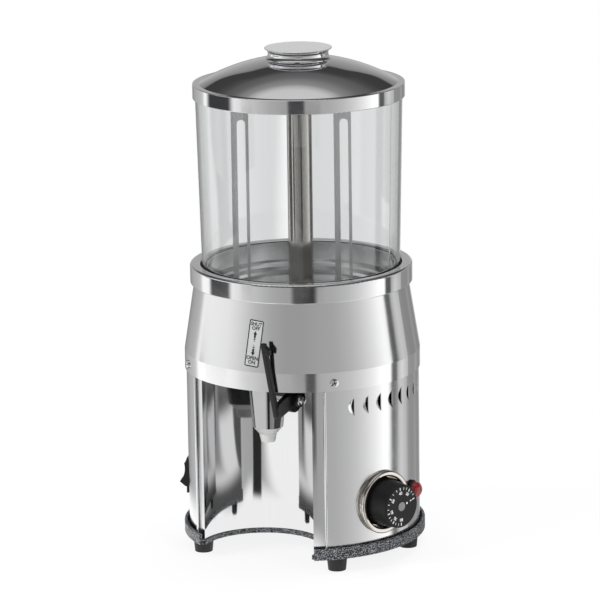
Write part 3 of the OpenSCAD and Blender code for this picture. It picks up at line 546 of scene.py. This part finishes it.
class DispenserLooks(bpy.types.PropertyGroup):
    """Colours and sizes that change the machine's looks."""

    steel: bpy.props.FloatVectorProperty(
        name="Steel",
        description="Colour of the sheet metal",
        subtype="COLOR",
        default=(0.74, 0.74, 0.745),
    )
    chrome: bpy.props.FloatVectorProperty(
        name="Chrome",
        description="Colour of the polished plating",
        subtype="COLOR",
        default=(0.80, 0.80, 0.81),
    )
    enamel: bpy.props.FloatVectorProperty(
        name="Enamel",
        description="Colour of the base's hammer finish",
        subtype="COLOR",
        default=(0.085, 0.088, 0.095),
    )
    black: bpy.props.FloatVectorProperty(
        name="Black",
        description="Colour of the black mouldings",
        subtype="COLOR",
        default=(0.009, 0.009, 0.010),
    )
    white: bpy.props.FloatVectorProperty(
        name="White",
        description="Colour of the nozzle and the bushes",
        subtype="COLOR",
        default=(0.58, 0.58, 0.57),
    )
    lens: bpy.props.FloatVectorProperty(
        name="Lens",
        description="Colour of the pilot light",
        subtype="COLOR",
        default=(0.40, 0.03, 0.035),
    )
    bowl: bpy.props.FloatVectorProperty(
        name="Bowl",
        description="Tint of the clear bowl",
        subtype="COLOR",
        default=(0.985, 0.99, 0.99),
    )
    satin: bpy.props.FloatProperty(
        name="Satin",
        description="Roughness of the sheet metal",
        subtype="FACTOR",
        default=0.14,
        min=0.02,
        max=0.6,
    )
    polish: bpy.props.FloatProperty(
        name="Polish",
        description="Roughness of the polished parts",
        subtype="FACTOR",
        default=0.05,
        min=0.0,
        max=0.4,
    )
    mark_height: bpy.props.FloatProperty(
        name="Numeral height",
        description="Height of the dial's numerals",
        unit="LENGTH",
        default=0.0032,
    )


class DISPENSER_OT_housing(bpy.types.Operator):
    """Finishes the sheet metal of the housing and lays a cross of painted shade, for the recess, on each of
    its screws
    """

    bl_idname = "dispenser.housing"
    bl_label = "Housing"

    # The cross of painted shade that stands for a screwdriver recess, in millimetres and degrees
    stroke_width, stroke_length, stroke_turns = 1.0, 4.8, (20.0, 110.0)

    def execute(self, context):
        looks = context.scene.dispenser_looks
        shell = spun_metal("shell_satin", tint(looks.steel, 1.12), looks.satin + 0.01, grain=0.08)
        put_on(shell, "outer_shell")
        # The shoulder's upright band gets a painted highlight below BAND_TOP
        shoulder = spun_metal("shoulder_satin", looks.steel, looks.satin - 0.03, grain=0.06, band=BAND_TOP)
        put_on(shoulder, "shoulder_cover")
        put_on(upright_metal("liner_mirror", looks.steel, rough=0.06, grain=0.03), "bay_liner")
        put_on(plated_metal("collar_polish", looks.chrome, looks.polish), "collar_ring")
        put_on(plated_metal("screw_plating", looks.chrome, rough=0.12), "shoulder_screws")
        self.lay_recess_shade()
        return {"FINISHED"}

    @staticmethod
    def on_dome(place):
        """Lays points on the domed screw head that stands out along the Z of a frame."""
        top = reach("shoulder_screws", place) + RECESS_LIFT

        def lay(x, y):
            sunk = (x * x + y * y) / (2 * SCREW_DOME_MM)
            return place @ Vector((x * MM, y * MM, top - sunk * MM))

        return lay

    def lay_recess_shade(self):
        """Lays a flat cross of painted shade, standing for the recess, on each screw head."""
        low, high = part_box("shoulder_screws")
        marks = Print()
        for angle in SCREW_ANGLES:
            marks.lay = self.on_dome(outward(angle, (low[2] + high[2]) / 2))
            for turn in self.stroke_turns:
                marks.bar(self.stroke_width, self.stroke_length, turn=turn, parts=6)
        # painted shade: a near-black cross where the recess's hollow would be in shade
        dark = plated_metal("recess_painted_shade", RECESS_SHADE, rough=0.4)
        add_piece("screw_recess_shade", marks.mesh("screw_recess_shade"), dark, "housing")


class DISPENSER_OT_base(bpy.types.Operator):
    """Finishes the base casting and its feet"""

    bl_idname = "dispenser.base"
    bl_label = "Base"

    def execute(self, context):
        looks = context.scene.dispenser_looks
        put_on(hammered_enamel("base_enamel", looks.enamel), "base_casting")
        put_on(rubber("foot_rubber", looks.black), "rubber_feet")
        put_on(plated_metal("foot_screw_zinc", ZINC, rough=0.25), "foot_screws")
        return {"FINISHED"}


class DISPENSER_OT_inside(bpy.types.Operator):
    """Finishes what the housing hides"""

    bl_idname = "dispenser.inside"
    bl_label = "Inside"

    def execute(self, context):
        looks = context.scene.dispenser_looks
        sheet = upright_metal("inner_sheet", looks.steel, rough=0.3, grain=0.1)
        put_on(sheet, "water_tank", "column_tube", "outlet_tube", "drive_shaft")
        # painted shade: the deck plate is coloured near black for the shade of the bay's roof
        put_on(upright_metal("deck_painted_shade", DECK_SHADE, rough=0.42, grain=0.1), "deck_plate")
        put_on(upright_metal("heater_sheath", HEATER_GREY, rough=0.45, grain=0.1), "heating_element")
        put_on(plated_metal("zinc", ZINC, rough=0.28), "tie_posts", "motor_screws", "plug_stop_screw")
        put_on(plated_metal("stat_spindle", ZINC, rough=0.28), "thermostat_shaft")
        put_on(plated_metal("nut_brass", BRASS, rough=0.3), "tap_nut")
        put_on(plated_metal("bulb_copper", COPPER, rough=0.3), "thermostat_bulb")
        put_on(moulded_plastic("bush_plastic", looks.white, rough=0.4), "lower_bush", "upper_bush")
        put_on(moulded_plastic("motor_paint", MOTOR_GREY, rough=0.45, pebble=500.0, depth=0.3), "gear_motor")
        put_on(moulded_plastic("block_ivory", IVORY, rough=0.45), "terminal_block")
        black = moulded_plastic("inner_black", looks.black, rough=0.45)
        put_on(black, "thermostat_body", "gland_nut", "cable_gland")
        put_on(rubber("seal_rubber", looks.black), "plug_seals", "bowl_gasket")
        return {"FINISHED"}


class DISPENSER_OT_bowl(bpy.types.Operator):
    """Finishes the clear bowl and the pan under it"""

    bl_idname = "dispenser.bowl"
    bl_label = "Bowl and pan"

    def execute(self, context):
        looks = context.scene.dispenser_looks
        put_on(clear_plastic("bowl_clear", looks.bowl), "bowl")
        # The pan's paler steel is painted light
        put_on(spun_pan("pan_spun", looks.steel, rough=0.14), "heating_pan", "seat_ring")
        return {"FINISHED"}


class DISPENSER_OT_agitator(bpy.types.Operator):
    """Finishes the agitator's tube, arm and paddles"""

    bl_idname = "dispenser.agitator"
    bl_label = "Agitator"

    def execute(self, context):
        looks = context.scene.dispenser_looks
        tube = upright_metal("tube_bright", TUBE_GREY, rough=0.09, grain=0.05, film=FILM_TOP)
        put_on(tube, "agitator_tube", "agitator_cap")
        sheet = upright_metal("paddle_sheet", tint(looks.steel, 1.25), rough=0.26, grain=0.1)
        put_on(sheet, "cross_arm", "wide_paddle", "near_paddle")
        return {"FINISHED"}


class DISPENSER_OT_lid(bpy.types.Operator):
    """Finishes the domed lid and its knob"""

    bl_idname = "dispenser.lid"
    bl_label = "Lid"

    def execute(self, context):
        looks = context.scene.dispenser_looks
        put_on(plated_metal("dome_polish", looks.chrome, rough=0.03), "lid_dome")
        put_on(plated_metal("rim_polish", looks.chrome, looks.polish), "lid_rim")
        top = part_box("lid_knob")[1][2]
        put_on(turned_knob("knob_chrome", looks.chrome, rough=0.06, top=top), "lid_knob")
        put_on(plated_metal("knob_screw_zinc", ZINC, rough=0.28), "lid_knob_screw")
        return {"FINISHED"}


class DISPENSER_OT_tap(bpy.types.Operator):
    """Finishes the tap with its lever and nozzle"""

    bl_idname = "dispenser.tap"
    bl_label = "Tap"

    def execute(self, context):
        looks = context.scene.dispenser_looks
        # The spout is the chrome darkened as painted shade, with deeper painted shade behind SPOUT_BACK
        spout = polished_casting("spout_chrome_painted_shade", tint(looks.chrome, 0.55), rough=0.08, back=SPOUT_BACK)
        put_on(spout, "tap_body")
        put_on(plated_metal("lever_screw_chrome", looks.chrome, rough=0.08), "lever_screw")
        put_on(upright_metal("plug_steel", looks.steel, rough=0.25, grain=0.08), "valve_plug")
        put_on(moulded_plastic("nozzle_white", looks.white, rough=0.38), "nozzle")
        put_on(moulded_plastic("lever_black", looks.black, rough=0.36, gloss=0.35), "tap_lever")
        return {"FINISHED"}


class DISPENSER_OT_controls(bpy.types.Operator):
    """Finishes the thermostat, the pilot light and the switch, and prints the dial"""

    bl_idname = "dispenser.controls"
    bl_label = "Controls"

    # The dial's marks: turns in degrees, anticlockwise from the top as the numbers rise, and millimetres
    number_turns = {"30": -35.0, "40": 5.6, "50": 56.0, "60": 104.0, "70": 141.0, "80": 178.0}
    tick_turns = (-59.0, -47.0, -22.0, -9.5, 21.4, 38.5, 74.0, 90.0, 117.0, 129.0, 153.0, 166.0)
    number_ring, long_tick_ring, tick_ring = 14.4, 19.1, 19.3
    long_tick_size, tick_size = (1.1, 3.2), (0.6, 2.6)
    # A font's size over the height of its numerals
    font_share = 1.4
    # The pointer's dashes, each with its distance from the middle, width and length
    pointer_turn = -73.0
    pointer = ((8.0, 2.0, 2.0), (13.8, 1.2, 2.4), (17.7, 1.2, 3.0))

    def execute(self, context):
        looks = context.scene.dispenser_looks
        black = moulded_plastic("control_black", looks.black, rough=0.4, gloss=0.25)
        put_on(black, "thermostat_knob", "pilot_bezel", "switch_frame", "switch_rocker")
        put_on(plated_metal("bezel_nickel", NICKEL, rough=0.07), "thermostat_bezel")
        put_on(lamp_lens("pilot_red", looks.lens), "pilot_lens")
        put_on(plated_metal("cap_zinc", CAP_GREY, rough=0.45), "knob_cap")
        self.print_dial(looks.mark_height / MM)
        return {"FINISHED"}

    def print_dial(self, height):
        """Prints numerals of a height in millimetres, ticks and the pointer on the knob's face."""
        place = outward(DIAL_ANGLE, DIAL_HEIGHT)
        face = reach("thermostat_knob", place) + DIAL_LIFT
        marks = Print(lambda x, y: place @ Vector((x * MM, y * MM, face)))
        for number, turn in self.number_turns.items():
            marks.add(*words(number, height * self.font_share), on_ring(self.number_ring, turn), turn)
            marks.bar(*self.long_tick_size, on_ring(self.long_tick_ring, turn), turn)
        for turn in self.tick_turns:
            marks.bar(*self.tick_size, on_ring(self.tick_ring, turn), turn)
        for radius, width, length in self.pointer:
            marks.bar(width, length, on_ring(radius, self.pointer_turn), self.pointer_turn)
        paint = moulded_plastic("dial_paint", DIAL_PALE, rough=0.5)
        add_piece("dial_marks", marks.mesh("dial_marks"), paint, "thermostat")


class DISPENSER_OT_label(bpy.types.Operator):
    """Finishes the tap's label and prints its frame, arrows and words"""

    bl_idname = "dispenser.label"
    bl_label = "Label"

    # The print in millimetres: the words by their height over the label's middle, and the upper arrow
    frame_size, frame_line, frame_corner = (16.2, 48.6), 1.15, 1.6
    rows = {19.9: "SHUT", 15.5: "OFF", -15.5: "OPEN", -19.9: "ON"}
    letter_size = 5.2
    arrow_head = ((-2.3, 9.3), (2.3, 9.3), (0.0, 12.9))
    # The strokes of the arrow's shaft, each with its distance from the middle, width and length
    arrow_shaft = ((7.5, 2.2, 3.8), (4.2, 2.0, 1.5), (2.0, 1.4, 0.6))

    def execute(self, context):
        put_on(printed_film("label_film", FILM_PALE), "tap_label")
        self.print_label()
        return {"FINISHED"}

    @staticmethod
    def lay(x, y):
        """A point of the label, in millimetres from its middle, on the shoulder's cone."""
        t = math.radians(-LABEL_TILT)
        across = (x * math.cos(t) - y * math.sin(t)) * MM
        z = LABEL_HEIGHT + (x * math.sin(t) + y * math.cos(t)) * MM
        share = (z - BAND_TOP) / (CONE_TOP - BAND_TOP)
        radius = BAND_RADIUS + (CONE_RADIUS - BAND_RADIUS) * share + LABEL_LIFT
        a = math.radians(LABEL_ANGLE) + math.asin(across / radius)
        return Vector((radius * math.sin(a), -radius * math.cos(a), z))

    def print_label(self):
        """Prints the frame, the words and the two arrows."""
        marks = Print(self.lay)
        marks.frame(*self.frame_size, self.frame_line, self.frame_corner)
        for row, word in self.rows.items():
            marks.add(*words(word, self.letter_size), (0.0, row))
        for turn in (0.0, 180.0):
            marks.add(self.arrow_head, [(0, 1, 2)], turn=turn)
            for radius, width, length in self.arrow_shaft:
                marks.bar(width, length, on_ring(radius, turn), turn)
        ink = moulded_plastic("label_ink", INK, rough=0.5)
        add_piece("label_print", marks.mesh("label_print"), ink, "housing")


def stage_object(name, mesh, material, *seen_by):
    """Adds a piece of the stage that only some kinds of rays see."""
    made = bpy.data.objects.new(name, mesh)
    mesh.materials.append(material)
    bpy.context.scene.collection.objects.link(made)
    for ray in ("camera", "diffuse", "glossy", "transmission", "shadow", "volume_scatter"):
        setattr(made, "visible_" + ray, ray in seen_by)
    return made


class DISPENSER_OT_stage(bpy.types.Operator):
    """Sets up the camera, the floor, the lamps and the tent that the metal reflects"""

    bl_idname = "dispenser.stage"
    bl_label = "Stage"

    # The tent's wall round the machine: degrees from the camera towards the image's right, and brightness
    wall = [
        (-180, 0.35), (-165, 0.30), (-150, 0.45), (-135, 0.55), (-128, 0.65), (-122, 1.15), (-108, 1.15),
        (-80, 1.05), (-66, 0.88), (-48, 0.63), (-32, 0.49), (-16, 0.42), (0, 0.42), (16, 0.46), (32, 0.49),
        (48, 0.60), (60, 0.75), (72, 0.95), (88, 1.30), (95, 1.30), (96.5, 0.12), (104, 0.12), (106, 0.55),
        (113, 0.78), (120, 0.62), (127, 0.32), (140, 0.30), (146, 0.40), (152, 0.28), (162, 0.30),
        (170, 0.70), (180, 0.35),
    ]
    # The tent over and behind the machine, from straight down at 0 to straight up at 1: a low wall, a dark
    # gap and a panel overhead
    overhead = [
        (0.0, 0.36), (0.5, 0.50), (0.565, 0.37), (0.6, 0.31), (0.628, 0.235), (0.637, 0.05), (0.7, 0.055),
        (0.73, 0.082), (0.747, 0.115), (0.77, 0.14), (0.783, 0.165), (0.8, 0.235), (0.82, 0.30),
        (0.832, 0.46), (0.85, 0.66), (1.0, 0.78),
    ]
    # Dark cards in front of the wall, as rows of elevation, left edge and right edge in degrees
    cards = {
        "left_card": [
            (-3.0, -121.0, -73.0), (-8.6, -121.0, -73.0), (-10.1, -112.0, -75.0), (-11.3, -112.0, -75.0),
        ],
        "front_card_high": [(-3.0, -14.2, 7.7), (-7.3, -13.9, 8.0)],
        "front_card_low": [
            (-9.9, -13.0, 18.0), (-11.3, -13.0, 18.0), (-11.8, 1.5, 13.5), (-14.5, 1.5, 13.5),
        ],
        "tube_card_left": [(-6.95, -66.0, -50.0), (-10.1, -66.0, -50.0)],
        "tube_card_front": [(-6.95, 4.0, 25.0), (-9.9, 7.0, 24.0)],
        "tube_card_right": [(-6.95, 102.0, 122.0), (-10.1, 102.0, 122.0)],
    }
    # Each lamp's place and size in metres, and its power in watts
    lamp_list = {
        "key": ((-1.6, -2.2, 2.4), 1.6, 61.0),
        "fill": ((2.6, -1.2, 1.5), 1.8, 34.0),
        "top": ((0.2, 0.8, 3.0), 2.0, 42.0),
    }

    def execute(self, context):
        self.camera(context)
        self.floor()
        self.tent()
        for name, rows in self.cards.items():
            self.card(name, rows)
        self.lamps(context)
        self.world(context)
        context.scene.view_settings.view_transform = "Standard"
        return {"FINISHED"}

    @staticmethod
    def camera(context):
        """Sets the camera to the photograph's view."""
        data = bpy.data.cameras.new("camera")
        data.sensor_width = SENSOR_WIDTH
        data.lens = SENSOR_WIDTH * FOCAL_LENGTH / PHOTO_WIDTH
        data.clip_start, data.clip_end = 0.1, 60.0
        camera = bpy.data.objects.new("camera", data)
        context.scene.collection.objects.link(camera)
        turn = math.radians(CAMERA_TURN)
        camera.location = (CAMERA_AWAY * math.sin(turn), -CAMERA_AWAY * math.cos(turn), CAMERA_HEIGHT)
        camera.rotation_euler = (
            Matrix.Rotation(turn + math.radians(CAMERA_YAW), 3, "Z")
            @ Matrix.Rotation(math.radians(90.0 - CAMERA_PITCH), 3, "X")
            @ Matrix.Rotation(math.radians(-CAMERA_ROLL), 3, "Z")
        ).to_euler()
        context.scene.camera = camera

    def floor(self):
        """A white floor that keeps the shadow. Turned rays see only its lit and dark parts."""
        finish = Finish("floor_pale")
        x, y, _ = finish.axes()
        side = math.radians(CAMERA_TURN)
        right = x * math.cos(side) + y * math.sin(side)
        near = x * math.sin(side) - y * math.cos(side)
        away = (x * x + y * y) ** 0.5
        pale = self.pale_floor(finish, right, away)
        parts = self.floor_parts(finish, right, near, away)
        material = finish.output(finish.blend(finish.turned(1), pale, parts))
        r = FLOOR_REACH
        mesh = bpy.data.meshes.new("floor")
        mesh.from_pydata([(-r, -r, 0), (r, -r, 0), (r, r, 0), (-r, r, 0)], [], [(0, 1, 2, 3)])
        stage_object("floor", mesh, material, "camera", "diffuse", "glossy", "transmission", "shadow")

    @staticmethod
    def pale_floor(finish, right, away):
        """White with some of the shadow near the machine, and greyer through the bowl, but for a strip."""
        strip = right.smooth(-0.056, -0.024) * right.fade(0.0, 0.02)
        through = finish.mix(strip, FLOOR_THROUGH, WHITE)
        white = finish.glow(finish.mix(finish.ray("Is Transmission Ray"), WHITE, through))
        plain = finish.node("ShaderNodeBsdfDiffuse", None, {"Color": tint(FLOOR_PLAIN)})
        share = 0.86 + 0.14 * away.smooth(0.4, 1.5)
        return finish.blend(share * finish.seen(), plain, white)

    @staticmethod
    def floor_parts(finish, right, near, away):
        """The floor that metal shows: lit round the machine and to its left, with a dark wedge in front."""
        left = right.fade(-0.16, -0.03) * near.smooth(-0.1, 0.0) * away.fade(0.55, 0.8)
        lit = away.fade(0.2, 0.32) * right.fade(0.02, 0.08) | left
        # rays turned twice have crossed the bay, and see the floor dim but for a ring in front
        twice = finish.turned(2)
        dim = away.fade(0.15, 0.24) | away.smooth(0.47, 0.56) | (right + 2.0 * near).fade(-0.02, 0.02)
        colour = finish.mix(twice * dim, FLOOR_LIT, FLOOR_DIM)
        # the wedge opens towards the camera between two slanted edges
        edge = 0.005
        wedge = (right + 0.037 + 0.035 * near).smooth(-edge, edge)
        wedge = wedge * (right + 0.0505 - 0.25 * near).fade(-edge, edge)
        wedge = wedge * near.smooth(0.19, 0.23) * near.fade(0.62, 0.7) * (1.0 - twice)
        light = finish.glow(finish.mix(wedge, colour, FLOOR_DARK))
        return finish.blend(lit | wedge, finish.node("ShaderNodeBsdfTransparent"), light)

    def tent(self):
        """The surroundings that metal shows, plain white where no metal has turned the ray."""
        finish = Finish("tent_panels")
        x, y, z = finish.axes()
        turn = x.arctangent(0.0 - y) / (2 * math.pi) + 0.5
        rise = (z / TENT_RADIUS).arcsine() / math.pi + 0.5
        stops = [(0.5 + degrees / 360, value) for degrees, value in self.wall]
        wall = finish.node("ShaderNodeValToRGB", {"stops": stops}, {"Fac": turn})
        # the dark gap climbs in the middle, and the panel over it leans to one side
        middle = (x * x).fade(1.6, 4.2)
        bent = rise - 0.045 * middle * rise.fade(0.7, 0.76) - 0.006 * x * rise.smooth(0.76, 0.82)
        above = finish.node("ShaderNodeValToRGB", {"stops": self.overhead}, {"Fac": bent})
        behind = (y / TENT_RADIUS).smooth(0.1, 0.35) * rise.smooth(0.5, 0.53)
        panels = finish.mix(rise.smooth(0.56, 0.62) | behind, wall, above)
        material = finish.output(finish.glow(finish.mix(finish.turned(1), WHITE, panels)))
        shape = bmesh.new()
        bmesh.ops.create_uvsphere(shape, u_segments=48, v_segments=24, radius=TENT_RADIUS)
        mesh = bpy.data.meshes.new("tent")
        shape.to_mesh(mesh)
        shape.free()
        tent = stage_object("tent", mesh, material, "glossy", "transmission")
        tent.rotation_euler = (0.0, 0.0, math.radians(CAMERA_TURN))

    @staticmethod
    def card(name, rows):
        """A dark card with soft sides in front of the tent's wall."""
        steps, soft = 8, 0.2
        points = []
        for rise, left, right in rows:
            up = math.radians(rise)
            for i in range(steps + 1):
                a = math.radians(CAMERA_TURN + left + (right - left) * i / steps)
                level = CARD_RADIUS * math.cos(up)
                points.append((level * math.sin(a), -level * math.cos(a), CARD_RADIUS * math.sin(up)))
        corners = [k * (steps + 1) + i for k in range(len(rows) - 1) for i in range(steps)]
        mesh = bpy.data.meshes.new(name)
        mesh.from_pydata(points, [], [(c, c + 1, c + steps + 2, c + steps + 1) for c in corners])
        across = mesh.attributes.new("across", "FLOAT", "POINT")
        across.data.foreach_set("value", [i % (steps + 1) / steps for i in range(len(points))])
        finish = Finish(name)
        part = finish.node("ShaderNodeAttribute", {"attribute_name": "across"}, output="Fac")
        held = part.smooth(0.0, soft) * part.fade(1.0 - soft, 1.0)
        dark = finish.glow(tint(CARD_DARK))
        material = finish.output(finish.blend(held, finish.node("ShaderNodeBsdfTransparent"), dark))
        stage_object(name, mesh, material, "glossy", "transmission")

    def lamps(self, context):
        """Soft lamps that no reflection shows."""
        for name, (place, size, power) in self.lamp_list.items():
            data = bpy.data.lights.new(name, "AREA")
            data.shape = "DISK"
            data.size = size
            data.energy = power
            lamp = bpy.data.objects.new(name, data)
            lamp.location = place
            lamp.rotation_euler = (LAMP_AIM - Vector(place)).to_track_quat("-Z", "Y").to_euler()
            lamp.visible_glossy = False
            lamp.visible_transmission = False
            lamp.visible_camera = False
            context.scene.collection.objects.link(lamp)

    @staticmethod
    def world(context):
        """Even light all round, white where it is seen."""
        world = bpy.data.worlds.new("studio")
        world.use_nodes = True
        context.scene.world = world
        finish = Finish("studio", world.node_tree)
        strength = 0.5 + 0.5 * finish.seen()
        inputs = {"Color": tint(WHITE), "Strength": strength}
        finish.output(finish.node("ShaderNodeBackground", None, inputs))


class DISPENSER_PT_panel(bpy.types.Panel):
    """Lists the operators and the values they use"""

    bl_idname = "DISPENSER_PT_panel"
    bl_label = "Dispenser"
    bl_space_type = "VIEW_3D"
    bl_region_type = "UI"
    bl_category = "Dispenser"

    def draw(self, context):
        for name in DispenserLooks.__annotations__:
            self.layout.prop(context.scene.dispenser_looks, name)
        for operator in OPERATORS:
            self.layout.operator(operator.bl_idname)


OPERATORS = (
    DISPENSER_OT_housing,
    DISPENSER_OT_base,
    DISPENSER_OT_inside,
    DISPENSER_OT_bowl,
    DISPENSER_OT_agitator,
    DISPENSER_OT_lid,
    DISPENSER_OT_tap,
    DISPENSER_OT_controls,
    DISPENSER_OT_label,
    DISPENSER_OT_stage,
)
CLASSES = (DispenserLooks, *OPERATORS, DISPENSER_PT_panel)


def register():
    for cls in CLASSES:
        bpy.utils.register_class(cls)
    bpy.types.Scene.dispenser_looks = bpy.props.PointerProperty(type=DispenserLooks)


def unregister():
    del bpy.types.Scene.dispenser_looks
    for cls in reversed(CLASSES):
        bpy.utils.unregister_class(cls)


def main():
    register()
    for operator in OPERATORS:
        group, name = operator.bl_idname.split(".")
        getattr(getattr(bpy.ops, group), name)()


if __name__ == "__main__":
    main()
